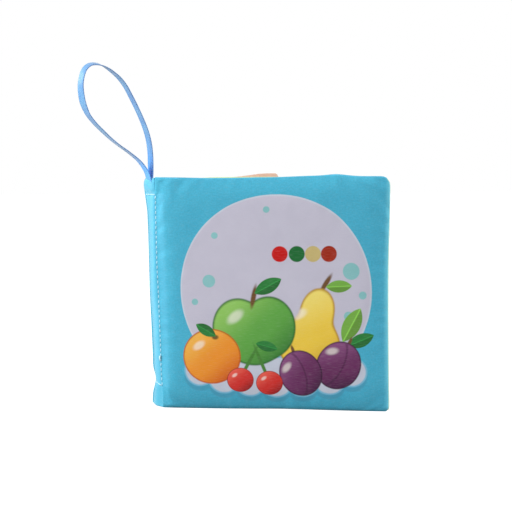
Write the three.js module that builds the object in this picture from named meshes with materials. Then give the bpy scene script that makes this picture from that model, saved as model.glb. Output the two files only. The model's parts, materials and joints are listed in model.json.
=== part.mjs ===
// A palm-size crinkle cloth book for a baby, standing part open on its lower edges.
// Millimetres, +Z up. The foot of the spine is at the origin, and the front cover faces -Y
// with its fore-edge towards +X. Every cover and leaf is a sewn cloth envelope that turns
// on its own upright hinge line at the spine.
import * as THREE from 'three';

// Clearances shared by all pieces
const seat = 0.3; // between pieces that lie against each other
const threadSeat = 0.1; // between a thread and the cloth beside it

// Covers
const coverWidth = 106; // hinge line to fore-edge
const coverHeight = 107;
const coverThickness = 2.6; // at the padded middle
const coverFabric = 0.4;
const coverCorner = 3; // radius of the two fore-edge corners
const coverBand = 15; // edge to the place where the padding is nearly full

// What the covers hold
const coverFilm = 0.2; // crinkle film
const coverFilmInset = 16; // edge of the cover to edge of the film
const coverFilmFace = 0.5; // middle of the cover to the film's far face
const waddingInset = 8; // edge of the cover to edge of the wadding

// Leaves
const leafCount = 4;
const leafForeInset = 6; // the leaves are narrower than the covers by this
const leafDrop = 2.8; // top of the covers to the top of the leaves at the spine
const leafBase = 2.6; // the leaves clear the floor by this
const leafThickness = 1.35;
const leafFabric = 0.3;
const leafCorner = 4;
const leafBand = 12;
const leafFilm = 0.2;
const leafFilmInset = 12;
const leafSkewShares = [0.004, -0.002, 0.006, 0.05]; // rise of each leaf for each millimetre out from the spine

// The closed stack, which sets the width of the spine
const leafGap = 0.35; // between two closed leaves
const coverGap = 0.4; // between a closed cover and the leaf beside it

// Spine
const spineFabric = 0.5;
const spineBulge = 2.2; // how far the spine cloth swells out
const linerThickness = 0.6;
const linerInset = 0.2; // the liner is narrower than the spine cloth by this on each side
const gutterFabric = 0.4;
const gutterRise = 1.9; // the folded gutters stand this far out of the liner
const spineWaddingInset = 1.85; // edge of the spine cloth to edge of its wadding
const spineWaddingFoot = 6; // the wadding clears the floor by this

// Threads
const threadRadius = 0.25;
const stitchLength = 2.5;
const stitchWaistShare = 0.6; // a stitch narrows to this where it dives into the cloth
const crossSeat = 0.15; // between a cross row and the spine cloth
const topRowDrop = 7.6; // top of the cover to the upper cross row
const bottomRowRise = 10; // floor to the lower cross row
const saddleInset = 7; // end of a leaf to the end of the saddle stitching

// Ribbon
const ribbonWidth = 6;
const ribbonThickness = 0.3;
const ribbonReach = 31.5; // how far the loop leans out past the spine
const ribbonRise = 49.5; // from its root to its highest point
const ribbonTail = 10.5; // sewn down inside the spine
const ribbonLift = 0.45; // clearance over the top of the spine as the loop swings

// Rest pose: the angle of each cover and leaf, in degrees from the closed book
const frontCoverAngle = -32.5;
const backCoverAngle = 43.5;
const leafAngles = [-15.5, -3.5, 11, 26];

// Facets
const spineSteps = 6;
const threadSides = 4;
const ribbonSteps = 48;

// The ribbon's loop, up its near strand and down its far one, as shares of its reach and rise
const loopShares = [
  [0, 0],
  [0, 0.1],
  [0, 0.2],
  [-0.02, 0.31],
  [-0.107, 0.505],
  [-0.258, 0.696],
  [-0.408, 0.847],
  [-0.54, 0.929],
  [-0.67, 0.983],
  [-0.8, 1],
  [-0.905, 0.985],
  [-0.975, 0.93],
  [-1, 0.79],
  [-0.972, 0.65],
  [-0.857, 0.486],
  [-0.67, 0.355],
  [-0.431, 0.245],
  [-0.215, 0.144],
  [-0.086, 0.07],
  [-0.015, 0.025],
  [0, 0],
];

// Places worked out from the sizes above
const leafWidth = coverWidth - leafForeInset;
const leafHeight = coverHeight - leafDrop - leafBase;
const leafPitch = leafThickness + leafGap;
const hingeY = (coverThickness + leafCount * leafPitch - leafGap) / 2 + coverGap;
const spineEdge = hingeY - threadRadius - seat;
const linerFace = linerThickness / 2;
const gutterTop = linerFace + gutterRise;
const coverRim = coverFabric + seat / 2; // half the thickness of a cover's sewn edge
const leafRim = leafFabric + seat / 2;
const leafHingeX = gutterTop + leafRim + seat;
const coverRoot = threadRadius + seat; // the cloth of a cover starts this far from its hinge line
const strandOffset = (ribbonThickness + seat) / 2;
const strandOuter = strandOffset + ribbonThickness / 2;
const ribbonX = -(linerFace + seat + strandOuter);
const ribbonHingeZ = coverHeight + strandOuter + ribbonLift;
const tailTop = ribbonHingeZ - strandOuter - seat;
const topRow = coverHeight - topRowDrop;

// A closed solid from its corner points, listed face by face as indices.
function solidFrom(positions, faces) {
  const geometry = new THREE.BufferGeometry();
  geometry.setAttribute('position', new THREE.Float32BufferAttribute(positions, 3));
  geometry.setIndex(faces);
  geometry.computeVertexNormals();
  return geometry;
}

// A closed solid from two faces over one grid: pointAt(u, v, side) gives a corner, side 0 or 1.
function twoFaced(columns, rows, pointAt) {
  const wide = columns.length;
  const tall = rows.length;
  const positions = [];
  for (const side of [0, 1]) {
    for (const v of rows) {
      for (const u of columns) positions.push(...pointAt(u, v, side));
    }
  }
  const at = (i, j, side) => side * wide * tall + j * wide + i;
  const faces = [];
  const quad = (a, b, c, d) => faces.push(a, b, c, a, c, d);
  for (let j = 0; j + 1 < tall; j++) {
    for (let i = 0; i + 1 < wide; i++) {
      quad(at(i, j, 0), at(i + 1, j, 0), at(i + 1, j + 1, 0), at(i, j + 1, 0));
      quad(at(i, j, 1), at(i, j + 1, 1), at(i + 1, j + 1, 1), at(i + 1, j, 1));
    }
  }
  for (let i = 0; i + 1 < wide; i++) {
    quad(at(i, 0, 0), at(i, 0, 1), at(i + 1, 0, 1), at(i + 1, 0, 0));
    quad(at(i, tall - 1, 0), at(i + 1, tall - 1, 0), at(i + 1, tall - 1, 1), at(i, tall - 1, 1));
  }
  for (let j = 0; j + 1 < tall; j++) {
    quad(at(0, j, 0), at(0, j + 1, 0), at(0, j + 1, 1), at(0, j, 1));
    quad(at(wide - 1, j, 0), at(wide - 1, j, 1), at(wide - 1, j + 1, 1), at(wide - 1, j + 1, 0));
  }
  return solidFrom(positions, faces);
}

// One cloth envelope, cover or leaf. In its own frame u runs out from the hinge line along +X,
// v runs up +Z, and the thickness runs along +Y.
function envelope(sizes) {
  const { width, height, base, root, corner, band, rim, thickness, fabric, skew } = sizes;
  const top = base + height;
  const middle = base + height / 2;

  // How full the envelope is at a place, from 0 at its sewn edge to 1 in the middle.
  const fullness = (u, v) => {
    const across = (2 * (u - root)) / (width - root) - 1;
    const up = (2 * (v - base)) / height - 1;
    return Math.sqrt(Math.max(0, (1 - across ** 4) * (1 - up ** 4)));
  };
  const half = (u, v) => rim + (thickness / 2 - rim) * fullness(u, v);

  // Cuts from low to high, close together where a corner is rounded.
  const cuts = (low, high, radius) => {
    const steps = [0, radius / 2, radius, band];
    return [...steps.map((d) => low + d), (low + high) / 2, ...steps.map((d) => high - d).reverse()];
  };

  // Draws the square grid in to the two round fore-edge corners, and tips it by the skew.
  const place = (u, v, inset, radius) => {
    const arcX = width - inset - radius;
    const arcZ = v > middle ? top - inset - radius : base + inset + radius;
    const a = (u - arcX) / radius;
    const b = (v > middle ? v - arcZ : arcZ - v) / radius;
    if (a <= 0 || b <= 0) return [u, v + skew * u];
    const x = arcX + radius * a * Math.sqrt(1 - b ** 2 / 2);
    const rise = radius * b * Math.sqrt(1 - a ** 2 / 2);
    return [x, arcZ + (v > middle ? rise : -rise) + skew * x];
  };

  // A layer between two heights through the thickness, each given as a function of the place.
  const layer = (inset, from, to) => {
    const columns = cuts(root + inset, width - inset, corner);
    const rows = cuts(base + inset, top - inset, corner);
    return twoFaced(columns, rows, (u, v, side) => {
      const [x, z] = place(u, v, inset, corner);
      return [x, (side ? to : from)(u, v), z];
    });
  };

  // A flat film between two heights.
  const sheet = (inset, from, to) =>
    twoFaced([root + inset, width - inset], [base + inset, top - inset], (u, v, side) => [
      u,
      side ? to : from,
      v + skew * u,
    ]);

  return {
    half,
    layer,
    sheet,
    frontFabric: () => layer(0, (u, v) => -half(u, v), (u, v) => fabric - half(u, v)),
    backFabric: () => layer(0, (u, v) => half(u, v) - fabric, (u, v) => half(u, v)),
  };
}

const coverEnvelope = envelope({
  width: coverWidth,
  height: coverHeight,
  base: 0,
  root: coverRoot,
  corner: coverCorner,
  band: coverBand,
  rim: coverRim,
  thickness: coverThickness,
  fabric: coverFabric,
  skew: 0,
});

const leafEnvelope = (skew) =>
  envelope({
    width: leafWidth,
    height: leafHeight,
    base: leafBase,
    root: 0,
    corner: leafCorner,
    band: leafBand,
    rim: leafRim,
    thickness: leafThickness,
    fabric: leafFabric,
    skew,
  });

// The film lies towards the lining, and the wadding fills what is left towards the outer cloth.
// outward is -1 for the front cover, whose outer cloth faces -Y, and 1 for the back cover.
function coverFilmGeometry(outward) {
  const low = outward < 0 ? coverFilmFace - coverFilm : -coverFilmFace;
  return coverEnvelope.sheet(coverFilmInset, low, low + coverFilm);
}

function coverWaddingGeometry(outward) {
  const inner = coverFilmFace - coverFilm - seat;
  const outer = (u, v) => coverEnvelope.half(u, v) - coverFabric - seat;
  return outward < 0
    ? coverEnvelope.layer(waddingInset, (u, v) => -outer(u, v), () => inner)
    : coverEnvelope.layer(waddingInset, () => -inner, outer);
}

// A prism that stands on a flat outline in the XY plane.
function upright(points, from, to) {
  const shape = new THREE.Shape(points.map(([x, y]) => new THREE.Vector2(x, y)));
  const geometry = new THREE.ExtrudeGeometry(shape, { depth: to - from, bevelEnabled: false });
  return geometry.translate(0, 0, from);
}

// Inner face of the spine cloth across the spine: beside the liner at the edges, swelling between.
const spineInner = (y) => -(linerFace + seat + spineBulge * (1 - (y / spineEdge) ** 2));

// Points across the spine from y = -reach to y = reach, at the x that xAt gives.
function across(reach, xAt) {
  return Array.from({ length: spineSteps + 1 }, (_, i) => {
    const y = reach * ((2 * i) / spineSteps - 1);
    return [xAt(y), y];
  });
}

function spineCloth() {
  const outer = across(spineEdge, (y) => spineInner(y) - spineFabric);
  const inner = across(spineEdge, spineInner);
  return upright([...inner, ...outer.reverse()], 0, coverHeight);
}

function spineWadding() {
  const reach = spineEdge - spineWaddingInset;
  const outer = across(reach, (y) => spineInner(y) + seat);
  const flat = -(linerFace + seat);
  const top = tailTop - ribbonTail - seat;
  return upright([...outer, [flat, reach], [flat, -reach]], spineWaddingFoot, top);
}

function spineLiner() {
  const y = spineEdge - linerInset;
  return upright([[-linerFace, -y], [linerFace, -y], [linerFace, y], [-linerFace, y]], 0, coverHeight);
}

// The gutter of a double leaf: a flat base at the spine, folded up at both sides into its leaves.
function gutter(baseFace, legY) {
  const outside = legY + gutterFabric / 2;
  const inside = legY - gutterFabric / 2;
  const floor = baseFace + gutterFabric;
  const outline = [
    [baseFace, -outside],
    [gutterTop, -outside],
    [gutterTop, -inside],
    [floor, -inside],
    [floor, inside],
    [gutterTop, inside],
    [gutterTop, outside],
    [baseFace, outside],
  ];
  return upright(outline, leafBase, leafBase + leafHeight);
}

// Splits a line of corners into half stitches. Every corner stays a point of the path.
function halfStitches(corners) {
  const points = [];
  for (let i = 0; i + 1 < corners.length; i++) {
    const length = corners[i].distanceTo(corners[i + 1]);
    const steps = 2 * Math.max(1, Math.round(length / stitchLength));
    for (let k = 0; k < steps; k++) points.push(corners[i].clone().lerp(corners[i + 1], k / steps));
  }
  return points;
}

// A sewing thread through its half stitches, thick in the middle of each stitch and thin where it
// dives. A closed thread joins its own start, and an open one gets flat ends.
function threadThrough(points, closed) {
  const count = points.length;
  const next = (i) => points[closed ? (i + 1) % count : Math.min(i + 1, count - 1)];
  const before = (i) => points[closed ? (i + count - 1) % count : Math.max(i - 1, 0)];
  const tangents = points.map((_, i) => next(i).clone().sub(before(i)).normalize());

  // Carries the first normal along the path without twisting it, then spreads what a closed
  // path leaves over evenly.
  const carry = (normal, tangent) => normal.clone().addScaledVector(tangent, -normal.dot(tangent)).normalize();
  const normals = [carry(new THREE.Vector3(1, 0, 0), tangents[0])];
  for (let i = 1; i < count; i++) normals.push(carry(normals[i - 1], tangents[i]));
  const last = carry(normals[count - 1], tangents[0]);
  const cross = normals[0].clone().cross(last).dot(tangents[0]);
  const leftOver = closed ? Math.atan2(cross, normals[0].dot(last)) : 0;

  const positions = [];
  points.forEach((centre, i) => {
    const normal = normals[i].clone().applyAxisAngle(tangents[i], (-leftOver * i) / count);
    const binormal = tangents[i].clone().cross(normal);
    const radius = threadRadius * (i % 2 ? 1 : stitchWaistShare);
    for (let side = 0; side < threadSides; side++) {
      const turn = (2 * Math.PI * side) / threadSides;
      const point = centre.clone();
      point.addScaledVector(normal, radius * Math.cos(turn)).addScaledVector(binormal, radius * Math.sin(turn));
      positions.push(...point.toArray());
    }
  });

  const faces = [];
  const at = (ring, side) => (ring % count) * threadSides + (side % threadSides);
  for (let i = 0; i < (closed ? count : count - 1); i++) {
    for (let side = 0; side < threadSides; side++) {
      const [a, b, c, d] = [at(i, side), at(i, side + 1), at(i + 1, side + 1), at(i + 1, side)];
      faces.push(a, b, c, a, c, d);
    }
  }
  for (let side = 1; !closed && side + 1 < threadSides; side++) {
    faces.push(at(0, 0), at(0, side + 1), at(0, side));
    faces.push(at(count - 1, 0), at(count - 1, side), at(count - 1, side + 1));
  }
  return solidFrom(positions, faces);
}

// The rectangle of topstitching: a row down each hinge line, and a row across the spine at each end.
function topstitch() {
  const clear = spineFabric + threadRadius + crossSeat;
  const shoulder = spineEdge - spineFabric;
  const side = hingeY - seat + threadSeat;
  const corner = [spineInner(spineEdge) - clear, side];
  const halfRow = [[0, hingeY], [spineInner(spineEdge), side], corner];
  const nearRow = halfRow.map(([x, y]) => [x, -y]);
  const row = [...nearRow, ...across(shoulder, (y) => spineInner(y) - clear), ...halfRow.reverse()];
  const up = row.map(([x, y]) => new THREE.Vector3(x, y, topRow));
  const down = row.map(([x, y]) => new THREE.Vector3(x, y, bottomRowRise)).reverse();
  return threadThrough(halfStitches([...up, ...down, up[0]]), true);
}

// The saddle stitching that holds both double leaves to the liner, up the middle of the open gutter.
function saddleStitch() {
  const x = linerFace + 2 * gutterFabric + threadRadius + crossSeat;
  const from = new THREE.Vector3(x, 0, leafBase + saddleInset);
  const to = new THREE.Vector3(x, 0, leafBase + leafHeight - saddleInset);
  return threadThrough([...halfStitches([from, to]), to], false);
}

// The ribbon's loop, a flat band bent in the XZ plane about its hinge line at its own origin.
function ribbonLoop() {
  const last = loopShares.length - 1;
  const controls = loopShares.map(([lean, rise], i) => {
    const apart = strandOffset * (1 - (2 * i) / last);
    return new THREE.Vector3(lean * ribbonReach + apart, 0, rise * ribbonRise);
  });
  const curve = new THREE.CatmullRomCurve3(controls, false, 'centripetal');
  const left = [];
  const right = [];
  for (let i = 0; i <= ribbonSteps; i++) {
    const centre = curve.getPointAt(i / ribbonSteps);
    const along = curve.getTangentAt(i / ribbonSteps);
    const offset = new THREE.Vector2(-along.z, along.x).multiplyScalar(ribbonThickness / 2);
    left.push(new THREE.Vector2(centre.x + offset.x, centre.z + offset.y));
    right.push(new THREE.Vector2(centre.x - offset.x, centre.z - offset.y));
  }
  const band = new THREE.Shape([...right, ...left.reverse()]);
  const geometry = new THREE.ExtrudeGeometry(band, { depth: ribbonWidth, bevelEnabled: false });
  return geometry.rotateX(Math.PI / 2).translate(0, ribbonWidth / 2, 0);
}

// A tail of the ribbon, sewn down inside the spine: strand 1 is the near one, -1 the far one.
function ribbonTailGeometry(strand) {
  const geometry = new THREE.BoxGeometry(ribbonThickness, ribbonWidth, ribbonTail);
  return geometry.translate(ribbonX + strand * strandOffset, 0, tailTop - ribbonTail / 2);
}

const finishes = {
  coverBlue: { color: 0x4fb2d4, roughness: 0.62 },
  spreadYellow: { color: 0xe3e8b9, roughness: 0.7 },
  spreadPink: { color: 0xf3c6cf, roughness: 0.7 },
  spreadMint: { color: 0xc4e6d4, roughness: 0.7 },
  spreadPeach: { color: 0xf3c1a3, roughness: 0.7 },
  spreadLilac: { color: 0xd7cfea, roughness: 0.7 },
  ribbonBlue: { color: 0x78b2ea, roughness: 0.4 },
  threadPale: { color: 0xd5f1f6, roughness: 0.55 },
  wadding: { color: 0xf4f3ee, roughness: 0.95 },
  film: { color: 0xdfe6ea, roughness: 0.2 },
};

function piece(name, geometry, finish) {
  const mesh = new THREE.Mesh(geometry, new THREE.MeshStandardMaterial({ ...finishes[finish], metalness: 0 }));
  mesh.name = name;
  return mesh;
}

function hinged(x, y, degrees, pieces) {
  const group = new THREE.Group();
  group.position.set(x, y, 0);
  group.rotation.z = THREE.MathUtils.degToRad(degrees);
  group.add(...pieces);
  return group;
}

// The book is built with its closed leaves along +X, then turned until the front cover faces -Y.
const book = new THREE.Group();
book.rotation.z = THREE.MathUtils.degToRad(-frontCoverAngle);

// Spine
book.add(
  piece('spine_outer_fabric', spineCloth(), 'coverBlue'),
  piece('spine_wadding', spineWadding(), 'wadding'),
  piece('spine_liner_tape', spineLiner(), 'coverBlue'),
  piece('outer_double_leaf_gutter', gutter(linerFace, (leafPitch * 3) / 2), 'spreadPink'),
  piece('inner_double_leaf_gutter', gutter(linerFace + gutterFabric, leafPitch / 2), 'spreadMint'),
  piece('spine_topstitch_thread', topstitch(), 'threadPale'),
  piece('saddle_stitch_thread', saddleStitch(), 'threadPale'),
  piece('ribbon_tail_near', ribbonTailGeometry(1), 'ribbonBlue'),
  piece('ribbon_tail_far', ribbonTailGeometry(-1), 'ribbonBlue'),
);

// Covers
const covers = [
  { name: 'front', outward: -1, angle: frontCoverAngle, lining: 'spreadYellow' },
  { name: 'back', outward: 1, angle: backCoverAngle, lining: 'spreadLilac' },
];
for (const { name, outward, angle, lining } of covers) {
  const outer = outward < 0 ? coverEnvelope.frontFabric() : coverEnvelope.backFabric();
  const inner = outward < 0 ? coverEnvelope.backFabric() : coverEnvelope.frontFabric();
  const pieces = [
    piece(name + '_cover_outer_fabric', outer, 'coverBlue'),
    piece(name + '_cover_wadding', coverWaddingGeometry(outward), 'wadding'),
    piece(name + '_cover_crinkle_film', coverFilmGeometry(outward), 'film'),
    piece(name + '_cover_lining', inner, lining),
  ];
  book.add(hinged(0, outward * hingeY, angle, pieces));
}

// Leaves, from the front cover to the back one. Facing pages share the colour of their spread.
const spreads = ['spreadYellow', 'spreadPink', 'spreadMint', 'spreadPeach', 'spreadLilac'];
for (let i = 0; i < leafCount; i++) {
  const leaf = leafEnvelope(leafSkewShares[i]);
  const pieces = [
    piece(`leaf_${i + 1}_front_fabric`, leaf.frontFabric(), spreads[i]),
    piece(`leaf_${i + 1}_crinkle_film`, leaf.sheet(leafFilmInset, -leafFilm / 2, leafFilm / 2), 'film'),
    piece(`leaf_${i + 1}_back_fabric`, leaf.backFabric(), spreads[i + 1]),
  ];
  const y = (i - (leafCount - 1) / 2) * leafPitch;
  book.add(hinged(leafHingeX, y, leafAngles[i], pieces));
}

// Ribbon
const ribbon = new THREE.Group();
ribbon.position.set(ribbonX, 0, ribbonHingeZ);
ribbon.add(piece('ribbon_loop', ribbonLoop(), 'ribbonBlue'));
book.add(ribbon);

export default book;
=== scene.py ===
"""Looks of the crinkle cloth book: padded covers and leaves, spine, stitches, ribbon, light and camera."""
import json
import math

import bpy
from mathutils import Matrix, Vector, noise

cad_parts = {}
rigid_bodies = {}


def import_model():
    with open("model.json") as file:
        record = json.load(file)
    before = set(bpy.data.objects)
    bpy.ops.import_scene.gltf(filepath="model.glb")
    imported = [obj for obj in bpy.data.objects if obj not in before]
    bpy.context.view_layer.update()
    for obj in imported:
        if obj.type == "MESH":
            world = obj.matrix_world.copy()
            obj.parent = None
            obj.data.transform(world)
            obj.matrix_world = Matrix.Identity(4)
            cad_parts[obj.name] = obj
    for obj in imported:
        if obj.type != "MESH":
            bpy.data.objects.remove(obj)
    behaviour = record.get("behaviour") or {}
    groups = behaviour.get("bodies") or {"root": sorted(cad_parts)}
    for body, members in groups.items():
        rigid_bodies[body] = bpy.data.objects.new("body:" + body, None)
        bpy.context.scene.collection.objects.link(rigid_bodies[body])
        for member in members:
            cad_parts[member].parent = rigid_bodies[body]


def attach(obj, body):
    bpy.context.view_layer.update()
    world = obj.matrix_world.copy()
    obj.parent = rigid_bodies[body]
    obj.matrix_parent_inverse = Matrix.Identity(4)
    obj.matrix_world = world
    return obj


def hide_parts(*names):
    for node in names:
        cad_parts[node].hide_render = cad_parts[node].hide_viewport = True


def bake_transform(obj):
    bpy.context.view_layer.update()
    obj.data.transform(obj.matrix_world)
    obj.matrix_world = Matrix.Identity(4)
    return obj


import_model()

scene = bpy.context.scene
for stray in [o for o in scene.objects if o.name in ("Cube", "Light", "Camera")]:
    bpy.data.objects.remove(stray)
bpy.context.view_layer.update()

# The frame's dimensions, in millimetres
MM = 0.001
TURN = math.radians(32.5)  # the spine's turn about Z
ALONG = Vector((math.cos(TURN), math.sin(TURN), 0))  # the way that the closed leaves run
ACROSS = Vector((-math.sin(TURN), math.cos(TURN), 0))  # from the front cover to the back cover
HINGE_T = 4.925  # middle of the spine to a cover's hinge line
LEAF_M = 2.95  # liner tape to the leaves' hinge lines
LEAF_PITCH = 1.7
COVER_WIDTH, COVER_HEIGHT = 106, 107
COVER_CORNERS = 1.8, 4.3  # lower and upper fore-edge corner
LEAF_WIDTH, LEAF_BASE, LEAF_TOP, LEAF_CORNERS = 100, 2.6, 104.2, (4, 4)
COVER_RIM, LEAF_RIM = 0.55, 0.45  # half the thickness of a sewn edge
TOP_ROW, BOTTOM_ROW = 99.4, 10.4  # heights of the stitch rows across the spine
RIBBON_ROOT = 107  # where the ribbon leaves the spine
RIBBON_LONG = 143.6  # along the ribbon from one sewn end to the other
STITCH = 2.3  # from one needle hole to the next
HINGE_BEND = -1, 2.5  # a cover bends between these distances from its hinge line
LEAF_BEND = -0.9, 1.6  # and a leaf between these
CLOTH_UNIT = 100  # millimetres of cloth in one unit of its texture coordinates
SPINE_MIDDLE = 20  # of the spine, in its cloth's own millimetres
SWELLING_UNIT = 100  # millimetres of the book in a metre of its swelling copy: ten times life size
SWELLING_STEPS = 20


def book(m, t, z):
    """A point of the book, in metres: m runs along the closed leaves, t across the spine."""
    return (ALONG * m + ACROSS * t + Vector((0, 0, z))) * MM


class Panel:
    """A cover or leaf at rest: u runs out from its hinge line and w across its thickness."""

    def __init__(self, body, m, t, angle):
        self.body = body
        self.m, self.t = m, t
        self.angle = math.radians(angle)

    def at(self, u, w, z):
        c, s = math.cos(self.angle), math.sin(self.angle)
        return book(self.m + u * c - w * s, self.t + u * s + w * c, z)


FRONT = Panel("front_cover", 0, -HINGE_T, -32.5)
BACK = Panel("back_cover", 0, HINGE_T, 43.5)
LEAVES = [
    Panel(f"leaf_{i + 1}", LEAF_M, (i - 1.5) * LEAF_PITCH, angle)
    for i, angle in enumerate((-15.5, -3.5, 11, 26))
]


def profile(*keys):
    """A smooth curve through (place, value) keys."""
    xs, ys = zip(*keys)
    slopes = []
    for i in range(len(xs)):
        before, after = max(i - 1, 0), min(i + 1, len(xs) - 1)
        slopes.append((ys[after] - ys[before]) / (xs[after] - xs[before]))

    def value(x):
        x = min(max(x, xs[0]), xs[-1])
        i = max(0, min(len(xs) - 2, sum(x >= k for k in xs) - 1))
        span = xs[i + 1] - xs[i]
        s = (x - xs[i]) / span
        return (
            ys[i] * (1 + 2 * s) * (1 - s) ** 2
            + slopes[i] * span * s * (1 - s) ** 2
            + ys[i + 1] * s * s * (3 - 2 * s)
            + slopes[i + 1] * span * s * s * (s - 1)
        )

    return value


def ease(x):
    x = min(max(x, 0), 1)
    return x * x * (3 - 2 * x)


def bell(x, middle, reach):
    return math.exp(-(((x - middle) / reach) ** 2))


def waver(*spot):
    return noise.noise(Vector(spot))


def flat(*_):
    return 0


def past_top_row(z):
    """The groove of a stitch row runs out above the top row."""
    return ease((z - TOP_ROW - 0.5) / 2.5)


# How far the seams stray, by height: the back hinge tucks in, and the front row drifts over the cover.
TUCK = profile(
    (0, 0.4), (5, 0.8), (8.5, 1.8), (12.5, 2.6), (14.5, 2.1), (18, 1.2), (22, 1.2), (28, 1.05), (35, 0.9),
    (55, 0.35), (73, 0.3), (83, 0.2), (88, 0.1), (93, -0.15), (97, -0.75), (101, -1.2), (104.3, -1.65),
    (105.6, -1.3), (106.6, -0.8), (107, -0.5),
)
DRIFT = profile((0, 1.6), (10, 1.3), (18, 0.95), (27, 0.9), (41, 0.65), (55, 0.4), (70, 0.05), (100, 0))


# Shader helper
class Graph:
    """Builds a material out of nodes. Lengths in it are millimetres."""

    def __init__(self, name):
        self.material = bpy.data.materials.new(name)
        self.material.use_nodes = True
        self.tree = self.material.node_tree
        self.shader = self.tree.nodes["Principled BSDF"]

    def new(self, kind):
        return self.tree.nodes.new("ShaderNode" + kind)

    def node(self, kind, *inputs, **settings):
        """Adds a node, and gives its first output."""
        made = self.new(kind)
        for key, value in settings.items():
            setattr(made, key, value)
        for socket, value in zip(made.inputs, inputs):
            self.feed(socket, value)
        return made.outputs[0]

    def named(self, kind, **inputs):
        """The same, with the inputs by name."""
        made = self.new(kind)
        for key, value in inputs.items():
            self.feed(made.inputs[key], value)
        return made.outputs[0]

    def feed(self, socket, value):
        if isinstance(value, bpy.types.NodeSocket):
            self.tree.links.new(value, socket)
        elif value is not None:
            socket.default_value = value

    def put(self, name, value):
        """Sets or links an input of the shader."""
        self.feed(self.shader.inputs[name], value)

    def math(self, operation, a, b=None, c=None):
        return self.node("Math", a, b, c, operation=operation)

    def add(self, a, b):
        return self.math("ADD", a, b)

    def less(self, a, b):
        return self.math("SUBTRACT", a, b)

    def times(self, a, b):
        return self.math("MULTIPLY", a, b)

    def length(self, a, b):
        return self.math("SQRT", self.add(self.math("POWER", a, 2.0), self.math("POWER", b, 2.0)))

    def ripple(self, x, pitch):
        return self.math("SINE", self.times(x, 2 * math.pi / pitch))

    def distance(self, x, where):
        return self.math("ABSOLUTE", self.add(x, -where))

    def mix(self, amount, a, b, blend="MIX"):
        made = self.new("Mix")
        made.data_type, made.blend_type = "RGBA", blend
        for index, value in ((0, amount), (6, a), (7, b)):
            self.feed(made.inputs[index], value)
        return made.outputs[2]

    def ramp(self, value, low, high):
        """0 below low, 1 above high."""
        return self.node("MapRange", value, low, high, 0.0, 1.0, interpolation_type="SMOOTHSTEP")

    def bump(self, height, distance, strength, before=None):
        return self.named("Bump", Strength=strength, Distance=distance * MM, Height=height, Normal=before)

    def uv(self):
        """The cloth's own millimetres, as a pair of numbers. The vector form is kept for noise."""
        spot = self.node("UVMap", uv_map="cloth")
        self.vector = self.node("VectorMath", spot, (CLOTH_UNIT,) * 3, operation="MULTIPLY")
        made = self.new("SeparateXYZ")
        self.feed(made.inputs[0], self.vector)
        return made.outputs[0], made.outputs[1]

    def place(self, p, x, y, turn=0, wide=1, tall=None):
        """The same point seen from a motif at (x, y), turned and scaled."""
        tall = wide if tall is None else tall
        c, s = math.cos(math.radians(turn)), math.sin(math.radians(turn))
        spot = []
        for a, b, size in ((c, s, wide), (-s, c, tall)):
            rest = self.math("MULTIPLY_ADD", p[1], b / size, -(a * x + b * y) / size)
            spot.append(self.math("MULTIPLY_ADD", p[0], a / size, rest))
        return spot

    def disc(self, p, x=0, y=0, wide=1, tall=None, turn=0):
        """How deep a point is inside an ellipse, in the units of p."""
        tall = wide if tall is None else tall
        a, b = self.place(p, x, y, turn, wide, tall)
        away = self.math("SQRT", self.math("MULTIPLY_ADD", a, a, self.times(b, b)))
        return self.math("MULTIPLY_ADD", away, -min(wide, tall), min(wide, tall))

    def paint(self, ground, colour, depth, soft=0.02, strength=1.0):
        return self.mix(self.times(self.ramp(depth, -soft, soft), strength), ground, colour)

    def noise(self, vector, scale, detail=2.0, roughness=0.5):
        return self.named("TexNoise", Vector=vector, Scale=scale, Detail=detail, Roughness=roughness)


def rgb(red, green, blue):
    """A colour as it looks on screen, 0 to 255, as the shader takes it."""
    parts = [c / 255 for c in (red, green, blue)]
    return (*(p / 12.92 if p <= 0.04045 else ((p + 0.055) / 1.055) ** 2.4 for p in parts), 1)


def shade(colour, amount):
    return (*(c * amount for c in colour[:3]), 1)


BLACK, WHITE = rgb(0, 0, 0), rgb(255, 255, 255)
COVER_BLUE = rgb(72, 180, 212)
# Painted highlight for the front cover's rolled fore edge
COVER_RIM_HIGHLIGHT = rgb(130, 228, 248)
CIRCLE, CIRCLE_RIM = rgb(202, 199, 216), rgb(206, 213, 226)
BUBBLE = rgb(138, 197, 199)
MAT, MAT_RIM = rgb(200, 206, 222), rgb(120, 190, 220)
# The first colour is the print's own drop shadow under its motifs; the second is painted shade for the front
# cover's foot
SHADOW, FOOT_SHADE = rgb(72, 160, 192), rgb(20, 84, 96)
LINER, LINING_RIM = rgb(226, 232, 226), rgb(200, 230, 225)
# Painted shade for the stitch grooves and needle holes, and a painted highlight for the band beside a row
GROOVE_AND_HOLE_SHADE, RIDGE_HIGHLIGHT = rgb(26, 92, 118), rgb(118, 212, 250)
LEAF_GREEN, PALE_GREEN = rgb(40, 125, 55), rgb(120, 178, 70)
SHINE = rgb(255, 250, 240)


# Printed motifs, in units of their own size
def lobes(g, q, *ellipses, blend=0.18):
    """One soft outline round several ellipses (x, y, wide, tall, turn)."""
    depth = g.disc(q, *ellipses[0])
    for ellipse in ellipses[1:]:
        depth = g.math("SMOOTH_MAX", depth, g.disc(q, *ellipse), blend)
    return depth


def fill(g, ground, q, depth, colour, deep, glow, shine=(-0.4, 0.35, 0.2, 0.11, 35)):
    """A rounded body: lighter at the upper left, deeper at the lower right, with a fine darker rim."""
    x, y = q
    slope = g.add(g.times(x, 0.6), g.times(y, -0.75))
    inside = g.mix(g.ramp(slope, -0.9, 0.1), glow, colour)
    inside = g.mix(g.ramp(slope, 0.1, 1.0), inside, deep)
    inside = g.mix(g.ramp(depth, 0.07, 0.0), inside, shade(deep, 0.75))
    inside = g.paint(inside, SHINE, g.disc(q, *shine), 0.05, 0.55)
    return g.paint(ground, inside, depth)


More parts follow.
